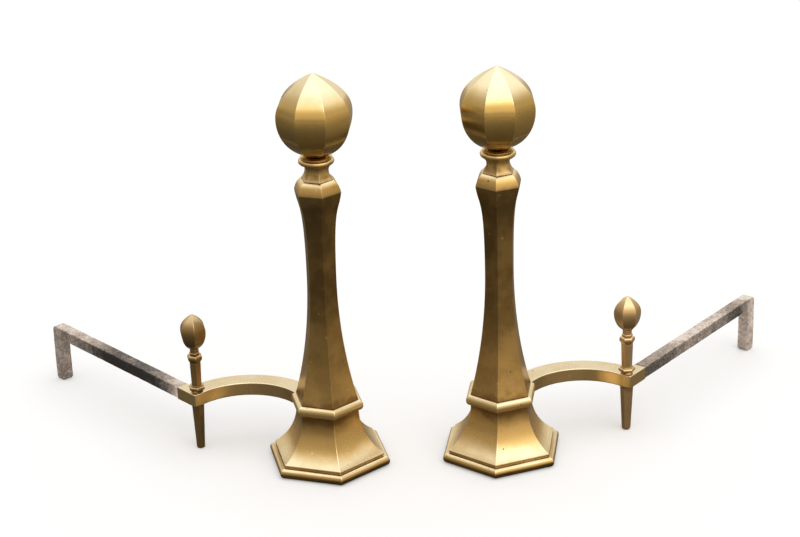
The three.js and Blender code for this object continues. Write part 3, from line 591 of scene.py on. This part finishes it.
# The eye sees middling gold, browner in the hollows and under the bead, which is painted shade that grows as
# the surface turns from level to facing down.
neck_brass = aged_brass("aged_turned_brass_neck", "#E4D0A2", "#DDBE80", "#A3844C", 0.22, -0.6)
for side in SIDES:
    grid, measures = many_sided(neck_profile, COLUMN_SIDES, rounding=0.7, crevices=(neck_foot,))
    neck = piece(f"neck_{side}", side, "neck", grid, measures, neck_brass, loop=True)
    grid, measures = many_sided(collar_profile, COLLAR_STEPS, rounding=FULLY_ROUND)
    measures["arris"] += NO_ARRIS
    collar = piece(f"collar_{side}", side, "collar", grid, measures, neck_brass, loop=True)


# --- Balls ---
# Each ball is two eight-sided brass shells, a bowl and a crown, seamed at the widest line and screwed down
# on the tie rod at its own angle. They are polished smoother than the column.
BALL_SIDES = 8
BALL_RADIUS = 47
BALL_TURN = {"left": math.radians(-5.8), "right": math.radians(-13.1)}
CROWN_POWERS = (2.1, 0.93)
# The seam is a hair line, so each shell's outer edge reaches 0.1 mm into the solids' gap.
BALL_SEAM = 0.3
SEAM_CLOSED = 0.1
SEAM_ROUNDING = 0.08


def bowl(radius, foot_radius, foot, seam, steps):
    """The lower half of a ball, an ellipse cut off flat at its foot: the radius times cos a, and sin a below
    the seam, scaled so that the foot comes at its own radius."""
    cut = math.acos(foot_radius / radius)
    angle = cut * np.linspace(1, 0, steps)
    return np.column_stack([radius * np.cos(angle), seam - (seam - foot) / math.sin(cut) * np.sin(angle)])


def crown(radius, seam, tip, steps):
    """The upper half, drawn to a blunt point: at a share u of the height it is (1 - u^2.1)^0.93 as wide."""
    u = np.sin(np.linspace(0, math.pi / 2, steps))
    u[-1] = 1
    across = radius * (1 - u ** CROWN_POWERS[0]) ** CROWN_POWERS[1]
    return np.column_stack([across, seam + u * (tip - seam)])


# The eye sees the smoothest brass of all, bright yellow gold with the studio's soft bands in every facet.
# Painted light makes its upper facets paler, and painted shade makes it browner below the widest line.
ball_brass = aged_brass("aged_cast_brass_ball", "#F7EAC6", "#E6C67E", "#AC8D50", 0.17, -0.45, 0.08)
bowl_foot, bowl_seam = height_of("right_ball_lower")
ball_tip = height_of("right_ball_upper")[1]
seam = bowl_seam + BALL_SEAM
bowl_rim = bowl(BALL_RADIUS, BALL_FOOT_RADIUS, bowl_foot, bowl_seam, 40)
bowl_rim[-1, 1] += SEAM_CLOSED
bowl_profile = np.concatenate([[(ROD_BORE, bowl_foot)], bowl_rim, [(ROD_BORE, bowl_seam)]])
bowl_profile = softened(bowl_profile, SEAM_ROUNDING)
crown_rim = crown(BALL_RADIUS, seam, ball_tip, 44)
crown_rim[0, 1] -= SEAM_CLOSED
crown_profile = softened(np.concatenate([[(0, seam)], crown_rim]), SEAM_ROUNDING, open_ended=True)
for side in SIDES:
    turn = BALL_TURN[side]
    grid, measures = many_sided(bowl_profile, BALL_SIDES, turn, rounding=0.8)
    shell = piece(f"ball_bowl_{side}", side, "ball_lower", grid, measures, ball_brass, loop=True)
    grid, measures = many_sided(crown_profile, BALL_SIDES, turn, rounding=0.8)
    shell = piece(f"ball_crown_{side}", side, "ball_upper", grid, measures, ball_brass)


# --- Arms ---
# A flat-topped curved arm, cast in brass and filed square, runs from the column's back face out to the
# knuckle and back along the bar. Painted light makes it paler on its level top, and painted shade makes it
# orange-brown on its sides.
BACK = math.radians(60)
ARM_RADIUS = 87.2
ARM_HALF = 12.7
ARM_HEADING = math.radians(74.8)
ARM_EDGE = 1.1
ARM_FLAT_ROWS = (2.4, 1.7)
ARM_SIDE_START = 2.6
ARM_WEAR = 0.6
KNUCKLE_ANGLE = math.radians(45.7)
KNUCKLE_PROUD = 2.9
KNUCKLE_RUN = math.radians(6)
KNUCKLE_CHAMFER = 1.2
TAIL_LENGTH = 35
BAR_WIDTH = 16
SEAT_GAP = 0.3
FLAT_SHARE = math.cos(math.pi / COLUMN_SIDES)

arm_foot, arm_top = height_of("right_arm")
flare_run, flare_rise = FLARE_EDGE - FOOT_RADIUS, base_top - FLARE_FOOT
flare_radius = (flare_run**2 + flare_rise**2) / (2 * flare_run)


def column_face(z):
    """The column's corner radius at a height: the flare's arc up to the ring, then the ring's half round."""
    if z < base_top:
        return FOOT_RADIUS + flare_radius - math.sqrt(flare_radius**2 - (base_top - z) ** 2)
    up_the_ring = min(max(2 * (z - ring_foot) / (ring_top - ring_foot), 0), 2)
    return FOOT_RADIUS + RING_PROUD * math.sin(math.acos(1 - up_the_ring))


back, inward = heading(BACK), heading(BACK + math.pi / 2)
arm_root = back * column_face(arm_foot) * FLAT_SHARE
arm_centre = heading(ARM_HEADING - math.pi / 2) * ARM_RADIUS + arm_root
knuckle = heading(KNUCKLE_ANGLE) * (ARM_RADIUS - ARM_HALF + KNUCKLE_PROUD) + arm_centre


def beside_bar(along, across):
    """A point in plan: so far from the knuckle's corner along the bar, and so far across it."""
    return knuckle + along * back + across * inward


def arm_line(inset, z):
    """The arm's outline in plan, drawn in by an inset, at one height. It starts where the arc's back face
    meets the column there, follows the arc and the bar's inner side, goes round the tail and the chamfered
    knuckle, and returns along the arc's front face. Points near both ends of a straight keep it crisp."""
    outer, inner = ARM_RADIUS + ARM_HALF - inset, ARM_RADIUS - ARM_HALF + inset
    reach = column_face(z) * FLAT_SHARE + SEAT_GAP - arm_centre @ back
    rear_start, front_stop = BACK + math.acos(reach / outer), BACK + math.acos(reach / inner)
    from_centre = beside_bar(0, BAR_WIDTH - inset) - arm_centre
    along = from_centre @ back
    run = math.sqrt(along**2 - from_centre @ from_centre + outer**2) - along
    crossing = beside_bar(run, BAR_WIDTH - inset)
    rear_stop = math.atan2(*(crossing - arm_centre)[::-1])
    front_start = KNUCKLE_ANGLE + KNUCKLE_RUN
    leaving = heading(front_start) * (ARM_RADIUS - ARM_HALF) + arm_centre
    outwards = (leaving - knuckle) / np.linalg.norm(leaving - knuckle)
    chamfer = [knuckle + KNUCKLE_CHAMFER * outwards, beside_bar(KNUCKLE_CHAMFER, 0)]
    corner = np.array([leaving, *chamfer, beside_bar(TAIL_LENGTH, 0)])
    edge = np.diff(corner, axis=0)
    normal = np.column_stack([edge[:, 1], -edge[:, 0]]) / np.linalg.norm(edge, axis=1)[:, None]
    fold = 1 + (normal[:-1] * normal[1:]).sum(1)
    miter = (normal[:-1] + normal[1:]) / fold[:, None]
    near, far = corner[1:3] - inset * miter * np.sign(normal[0] @ (arm_centre - leaving))
    stops = [
        crossing,
        beside_bar(TAIL_LENGTH - inset, BAR_WIDTH - inset),
        beside_bar(TAIL_LENGTH - inset, inset),
        far,
        near,
        heading(front_start) * inner + arm_centre,
    ]
    share = np.array([0, 0.04, 0.2, 0.5, 0.8, 0.96])[:, None]
    straights = [begin + share * (end - begin) for begin, end in zip(stops[:-1], stops[1:])]
    rear = heading(np.linspace(rear_start, rear_stop, 60)[:-1]) * outer + arm_centre
    front = heading(np.linspace(front_start, front_stop, 60)) * inner + arm_centre
    return np.concatenate([rear, *straights, front])


swing = np.linspace(0, math.pi / 2, 5)
round_inset, round_rise = ARM_EDGE * (1 - np.sin(swing)), ARM_EDGE * (1 - np.cos(swing))
flat_rows = list(ARM_FLAT_ROWS)
side_inset = np.concatenate([flat_rows, round_inset, np.zeros(9), round_inset[::-1], flat_rows[::-1]])
side_height = np.concatenate(
    [
        [arm_foot] * 2,
        arm_foot + round_rise,
        np.linspace(arm_foot + ARM_SIDE_START, arm_top - ARM_SIDE_START, 9),
        arm_top - round_rise[::-1],
        [arm_top] * 2,
    ]
)
arm_plan = np.stack([arm_line(inset, z) for inset, z in zip(side_inset, side_height)])
arm_grid = np.concatenate([arm_plan, np.repeat(side_height[:, None, None], arm_plan.shape[1], 1)], 2)
down_side = np.minimum(side_height - arm_foot, arm_top - side_height)
from_edge = np.where(side_inset > ARM_EDGE, side_inset - ARM_EDGE, down_side)
from_edge = np.clip(from_edge - ARM_WEAR, 0, None)
# How far each point of the arm lies from the column's face: its brass gets brown dirt and painted shade
# close to it.
from_column = arm_grid[..., :2] @ back - (FOOT_RADIUS + RING_PROUD) * FLAT_SHARE
# The eye sees dull brass, creamy on its level top and orange-brown on its sides: painted light and painted
# shade.
arm_brass = aged_brass("aged_cast_brass_arm", "#F1E5C8", "#D5BA88", "#94784C", 0.26, -0.6)
for side in SIDES:
    measures = {"arris": from_edge[:, None], "crevice": np.abs(from_column[:, ::-1])}
    arm = piece(f"arm_{side}", side, "arm", arm_grid[:, ::-1], measures, arm_brass, filled=True)


# --- Billet bars ---
# One square bar of wrought iron, its rear end bent down hot to a leg, tenoned into the arm's tail. It has
# stood in the fire: black scale and brown rust under a pale crust of ash, thickest on top and at the rear.
BAR_REACH = 312
LEG_THICKNESS = 16
BEND_RADIUS = 7
CROTCH_RADIUS = 3
BAR_EDGE = 1.7
FOOT_CHAMFER = 2.5
TENON = 10
TENON_LENGTH = 20
TENON_EDGE = 0.3
FOOT_EDGE = 0.8
FOOT_TAPER = 2
HAMMER_DEPTH = 0.2
HAMMER_START = 3
bar_foot = arm_top - BAR_WIDTH
bar_start = TAIL_LENGTH + SEAT_GAP
inner_face = BAR_REACH - LEG_THICKNESS


def bar_lines():
    """The bar's side view as two matched lines from the joint: under the bar and down the leg's inner face,
    and over the top, round the bend's arc and down the leg's rear."""
    straight = np.linspace(bar_start, inner_face - CROTCH_RADIUS, 66)
    share = np.linspace(0, 1, 14)[1:]
    run, arc = BAR_REACH - BEND_RADIUS - straight[-1], BEND_RADIUS * math.pi / 2
    drop = (arm_top - BEND_RADIUS) - (bar_foot - CROTCH_RADIUS)
    gone = share * (run + arc + drop)
    angle = np.clip((gone - run) / BEND_RADIUS, 0, math.pi / 2)
    bend_along = straight[-1] + np.minimum(gone, run) + BEND_RADIUS * np.sin(angle)
    bend_height = arm_top - BEND_RADIUS * (1 - np.cos(angle)) - np.maximum(gone - run - arc, 0)
    crotch_along = straight[-1] + CROTCH_RADIUS * np.sin(share * math.pi / 2)
    crotch_height = bar_foot - CROTCH_RADIUS * (1 - np.cos(share * math.pi / 2))
    leg = np.linspace(bar_foot - CROTCH_RADIUS, FOOT_CHAMFER, 18)[1:]
    under_along = np.concatenate([straight, crotch_along, 0 * leg + inner_face])
    under_height = np.concatenate([0 * straight + bar_foot, crotch_height, leg])
    over_along = np.concatenate([straight, bend_along, 0 * leg + BAR_REACH])
    over_height = np.concatenate([0 * straight + arm_top, bend_height, leg])
    return np.column_stack([under_along, under_height]), np.column_stack([over_along, over_height])


under, over = bar_lines()
tenon_middle = arm_top - BAR_WIDTH / 2
tenon_x = np.array([bar_start - TENON_LENGTH, bar_start])
tenon_under = np.column_stack([tenon_x, 0 * tenon_x + tenon_middle - TENON / 2])
tenon_over = tenon_under + (0, TENON)
under = np.concatenate([tenon_under, under, [(inner_face + FOOT_CHAMFER, 0)]])
over = np.concatenate([tenon_over, over, [(BAR_REACH - FOOT_CHAMFER, 0)]])
rows_between = len(under) - 3
width = np.concatenate([[TENON] * 2, np.full(rows_between, BAR_WIDTH), [BAR_WIDTH - FOOT_TAPER]])
edge = np.concatenate([[TENON_EDGE] * 2, np.full(rows_between, BAR_EDGE), [FOOT_EDGE]])

# The square section as 0 to 1 across its depth and width: five points round each corner, then nine along
# the flat to the next. drawn_in is how far each point moves for one mm of rounding.
quarter = np.linspace(0, math.pi / 2, 5)
flat = np.array([0.02, 0.08, 0.2, 0.35, 0.5, 0.65, 0.8, 0.92, 0.98])
corner_at = np.array([[0, 0], [1, 0], [1, 1], [0, 1]])[:, None]
on_flat = np.concatenate([0 * quarter, flat])[:, None]
turned = np.concatenate([quarter, 0 * flat + math.pi / 2])
section = (1 - on_flat) * corner_at + on_flat * np.roll(corner_at, -1, 0)
drawn_in = 1 - 2 * section + heading(math.pi + math.pi / 2 * np.arange(4)[:, None] + turned)
section, drawn_in = section.reshape(-1, 2), drawn_in.reshape(-1, 2)
depth = np.linalg.norm(over - under, axis=1)
across_depth = section[:, 0] + edge[:, None] * drawn_in[:, 0] / depth[:, None]
across_width = (section[:, 1] - 0.5) * width[:, None] + edge[:, None] * drawn_in[:, 1] + BAR_WIDTH / 2
in_side = under[:, None] + (over - under)[:, None] * across_depth[..., None]

# Hammering: the sides are drawn in by up to 0.4 mm, in waves about 39 and 90 mm long.
stretches = np.linalg.norm(np.diff((under + over) / 2, axis=0), axis=1)
along_bar = np.concatenate([[0], np.cumsum(stretches)]) + tenon_x[0]
hammered = HAMMER_DEPTH * np.sin(0.16 * along_bar[:, None] + 5 * section[:, 0] + 1.1)
hammered *= 1 + np.sin(0.07 * along_bar[:, None] + 4 * section[:, 1])
hammered *= (along_bar > bar_start + HAMMER_START)[:, None]
across_width += (BAR_WIDTH / 2 - across_width) * np.abs(hammered) / (BAR_WIDTH / 2)
plan = beside_bar(in_side[..., :1], across_width[..., None])
bar_grid = np.concatenate([plan, in_side[..., 1:]], 2)

# Wrought iron, forged and burnt. The eye sees rough matt metal: charcoal scale where the logs kept it hot
# (the attribute bare), and elsewhere a chalky pinkish-grey crust of ash with brown rust, palest on top.
# Patches are 17 mm across, rust 13 mm, crust 4 mm and grit 2 mm.
wrought_iron = bpy.data.materials.new("fire_scaled_wrought_iron")
wrought_iron.use_nodes = True
tree = wrought_iron.node_tree
tree.nodes.clear()
place = add(tree, "TexCoord").outputs["Object"]
patch = {"Vector": place, "Scale": 60.0, "Detail": 4.0, "Roughness": 0.6}
patch = add(tree, "TexNoise", patch).outputs[0]
crust = {"Vector": place, "Scale": 230.0, "Detail": 6.0, "Roughness": 0.7}
crust = add(tree, "TexNoise", crust).outputs[0]
grit = {"Vector": place, "Scale": 520.0, "Detail": 3.0, "Roughness": 0.7}
grit = add(tree, "TexNoise", grit).outputs[0]
upward = add(tree, "SeparateXYZ", {0: add(tree, "NewGeometry").outputs["Normal"]}).outputs["Z"]
settled = add(tree, "MapRange", {0: upward, 1: 0.2, 2: 0.9, 3: 0.02, 4: 0.4}).outputs[0]
bare = add(tree, "Attribute", attribute_name="bare").outputs["Fac"]
settled = add(tree, "Math", {0: bare, 1: -0.62, 2: settled}, operation="MULTIPLY_ADD").outputs[0]
settled = add(tree, "Math", {0: patch, 1: 0.7, 2: settled}, operation="MULTIPLY_ADD").outputs[0]
settled = add(tree, "Math", {0: crust, 1: 1.0, 2: settled}, operation="MULTIPLY_ADD").outputs[0]
ash = add(tree, "MapRange", {0: settled, 1: 0.28, 2: 1.22}).outputs[0]
ash_shades = ((0.0, "#2E2D2D"), (0.3, "#55504D"), (0.6, "#8F837B"), (0.85, "#BFB1A8"), (1.0, "#DAD2CC"))
colour = add(tree, "ValToRGB", {0: ash}, stops=ash_shades).outputs[0]
rust = {"Vector": place, "Scale": 75.0, "Detail": 5.0, "Roughness": 0.65}
rust = add(tree, "TexNoise", rust).outputs[0]
rust = {0: rust, 1: 0.5, 2: 0.66, 4: 0.5}
rust = add(tree, "MapRange", rust, interpolation_type="SMOOTHSTEP").outputs[0]
rust = add(tree, "Math", {0: rust, 1: ash}, operation="MULTIPLY").outputs[0]
colour = {0: rust, 6: colour, 7: linear("#76503F")}
colour = add(tree, "Mix", colour, data_type="RGBA").outputs[2]
flecks = add(tree, "MapRange", {0: grit, 1: 0.56, 2: 0.62, 4: 0.85}).outputs[0]
flecks = add(tree, "Math", {0: flecks, 1: ash}, operation="MULTIPLY").outputs[0]
colour = {0: flecks, 6: colour, 7: linear("#EBE5DF")}
colour = add(tree, "Mix", colour, data_type="RGBA").outputs[2]
metal = add(tree, "MapRange", {0: ash, 1: 0.0, 2: 0.4, 3: 0.3, 4: 0.0}).outputs[0]
rough = add(tree, "MapRange", {0: crust, 1: 0.3, 2: 0.7, 3: 0.5, 4: 0.9}).outputs[0]
relief = add(tree, "Math", {0: ash, 1: 0.5, 2: crust}, operation="MULTIPLY_ADD").outputs[0]
relief = add(tree, "Math", {0: grit, 1: 0.5, 2: relief}, operation="MULTIPLY_ADD").outputs[0]
bump = add(tree, "Bump", {"Height": relief, "Distance": 0.0006, "Strength": 0.8}).outputs[0]
surface = {"Base Color": colour, "Metallic": metal, "Roughness": rough, "Normal": bump}
surface = add(tree, "BsdfPrincipled", surface).outputs[0]
add(tree, "OutputMaterial", {"Surface": surface})

# How bare each bar's iron is at these distances along it from the knuckle, from 0 for crusted to 1 for bare.
BARE_ALONG = {"left": (35, 62, 100, 185, 235, 320), "right": (35, 90, 140, 220, 270, 300)}
BARE_SHARE = {"left": (-0.6, 0.55, 1.1, 1.05, 0.35, 0.05), "right": (0.65, 0.6, 0.05, 0.2, 0.85, -0.35)}
for side in SIDES:
    bare = np.interp(along_bar, BARE_ALONG[side], BARE_SHARE[side])
    measures = {"bare": bare[:, None]}
    bar = piece(f"bar_{side}", side, "billet_bar", bar_grid, measures, wrought_iron, filled=True)


# --- Log stops ---
# On the knuckle stands a six-sided stop in five cast brass pieces, threaded on a stud: a tapered leg below
# the arm, a bead ring, a short post, a flared collar and a pointed bud.
STOP_ALONG = 6.9
STOP_ACROSS = 9.9
STOP_TURN = {"left": math.radians(0.9), "right": math.radians(-18.4)}
STUD_BORE = 4.0
STUD_HOLE = 14.3
LEG_TOP_RADIUS = 8.5
LEG_TIP_RADIUS = 5.7
LEG_ROUNDING = 1.4
STOP_FOOT_RADIUS = 7.8
STOP_FOOT_HEIGHT = 3.2
STOP_RING_ROOT = 8.6
STOP_RING_HEIGHT = 5
STOP_RING_PROUD = 2.2
STOP_FILLET_INSET = 0.7
POST_FOOT_RADIUS = 6.8
POST_TOP_RADIUS = 7.6
STOP_COLLAR_RADIUS = 10.1
STOP_FLARE = 6.5
STOP_ROOF = 4
STOP_BEAD_HEIGHT = 3
STOP_BEAD_PROUD = 1.2
STOP_NECK_RADIUS = 6
FINIAL_RADIUS = 17.2
FINIAL_DEPTH = 22.9
stop_spot = beside_bar(STOP_ALONG, STOP_ACROSS)

leg_foot, leg_top = height_of("right_stop_leg")
leg_shape = [
    (0, leg_foot),
    (LEG_TIP_RADIUS - LEG_ROUNDING, leg_foot),
    (LEG_TIP_RADIUS, leg_foot + LEG_ROUNDING),
    (LEG_TOP_RADIUS, leg_top),
    (STUD_BORE, leg_top),
    (STUD_BORE, leg_top - STUD_HOLE),
    (0, leg_top - STUD_HOLE),
]
foot, top = height_of("right_stop_ring")
bead_foot = foot + STOP_FOOT_HEIGHT
bead_top = bead_foot + STOP_RING_HEIGHT
ring_shape = np.concatenate(
    [
        [(STUD_BORE, foot), (STOP_FOOT_RADIUS, foot)],
        bead(STOP_RING_ROOT, bead_foot, bead_top, STOP_RING_PROUD, 13),
        bead(STOP_RING_ROOT - STOP_FILLET_INSET, bead_top, top, (top - bead_top) / 3, 7),
        [(STUD_BORE, top)],
    ]
)
post_foot, post_top = height_of("right_stop_post")
post_shape = [
    (STUD_BORE, post_foot),
    (POST_FOOT_RADIUS, post_foot),
    (POST_TOP_RADIUS, post_top),
    (STUD_BORE, post_top),
]
flare_foot, neck_end = height_of("right_stop_collar")
flare_top = flare_foot + STOP_FLARE
roof_top = flare_top + STOP_ROOF
flare = bezier(
    (POST_TOP_RADIUS, flare_foot),
    (POST_TOP_RADIUS, flare_foot + 3),
    (STOP_COLLAR_RADIUS, flare_top - 4),
    (STOP_COLLAR_RADIUS, flare_top),
    9,
)
roof = bezier(
    (STOP_COLLAR_RADIUS, flare_top),
    (STOP_COLLAR_RADIUS, flare_top + 2.4),
    (8.6, flare_top + 3.6),
    (STOP_NECK_RADIUS, roof_top),
    8,
)
collar_shape = np.concatenate(
    [
        [(STUD_BORE, flare_foot)],
        flare,
        roof[1:],
        bead(STOP_NECK_RADIUS, roof_top, roof_top + STOP_BEAD_HEIGHT, STOP_BEAD_PROUD, 9)[1:],
        [(STOP_NECK_RADIUS, neck_end), (STUD_BORE, neck_end)],
    ]
)
finial_foot, finial_tip = height_of("right_stop_finial")
finial_seam = finial_foot + FINIAL_DEPTH
hole_end = finial_foot + STUD_HOLE
finial_shape = np.concatenate(
    [
        [(0, hole_end), (STUD_BORE, hole_end), (STUD_BORE, finial_foot)],
        bowl(FINIAL_RADIUS, STOP_NECK_RADIUS, finial_foot, finial_seam, 24),
        crown(FINIAL_RADIUS, finial_seam, finial_tip, 28)[1:],
    ]
)

# The eye sees the dullest brass of the pair, heated beside the fire: greyish brown on the left andiron, and
# warmer and lighter on the right. Painted shade browns the faces that turn down.
STOP_SHADES = {"left": ("#CDB48A", "#B4976A", "#826846"), "right": ("#EAD2A6", "#DCBE90", "#AC8B60")}
for side in SIDES:
    stop_brass = aged_brass(f"aged_cast_brass_stop_{side}", *STOP_SHADES[side], 0.28, -0.4)
    stop_pieces = (
        ("stop_leg", leg_shape, False, 0.8, (leg_top,)),
        ("stop_ring", ring_shape, True, 0.9, ()),
        ("stop_post", post_shape, True, 0.9, ()),
        ("stop_collar", collar_shape, True, 1.4, ()),
        ("stop_finial", finial_shape, False, 0.9, ()),
    )
    for node, shape, loop, rounding, crevices in stop_pieces:
        soft = softened(shape, 0.35, open_ended=not loop)
        grid, measures = many_sided(soft, COLUMN_SIDES, STOP_TURN[side], rounding, crevices, stop_spot)
        made = piece(f"{node}_{side}_cast", side, node, grid, measures, stop_brass, loop=loop)


# --- Tie rods, washers, nuts and studs ---
# Plain steel fastenings, turned from bar and tapped, seen only from below inside the hollow base. The solids
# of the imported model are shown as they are.
# The eye sees dull grey steel with patches of brown rust 6 mm across, and threads 1.5 mm apart.
steel = bpy.data.materials.new("dull_rusted_steel")
steel.use_nodes = True
tree = steel.node_tree
tree.nodes.clear()
place = add(tree, "TexCoord").outputs["Object"]
rust = {"Vector": place, "Scale": 160.0, "Detail": 5.0, "Roughness": 0.65}
rust = add(tree, "TexNoise", rust).outputs[0]
rust = {0: rust, 1: 0.45, 2: 0.62}
rust = add(tree, "MapRange", rust, interpolation_type="SMOOTHSTEP").outputs[0]
colour = {0: rust, 6: linear("#87847E"), 7: linear("#5B4334")}
colour = add(tree, "Mix", colour, data_type="RGBA").outputs[2]
metal = add(tree, "MapRange", {0: rust, 1: 0.0, 2: 1.0, 3: 1.0, 4: 0.2}).outputs[0]
rough = add(tree, "MapRange", {0: rust, 1: 0.0, 2: 1.0, 3: 0.42, 4: 0.85}).outputs[0]
threads = add(tree, "TexWave", {"Vector": place, "Scale": 210.0}, bands_direction="Z").outputs[1]
bump = add(tree, "Bump", {"Height": threads, "Distance": 0.0002, "Strength": 0.5}).outputs[0]
surface = {"Base Color": colour, "Metallic": metal, "Roughness": rough, "Normal": bump}
surface = add(tree, "BsdfPrincipled", surface).outputs[0]
add(tree, "OutputMaterial", {"Surface": surface})
for side in SIDES:
    for node in ("tie_rod", "tie_washer", "tie_nut", "stop_stud"):
        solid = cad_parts[f"{side}_{node}"]
        solid.data.materials.clear()
        solid.data.materials.append(steel)
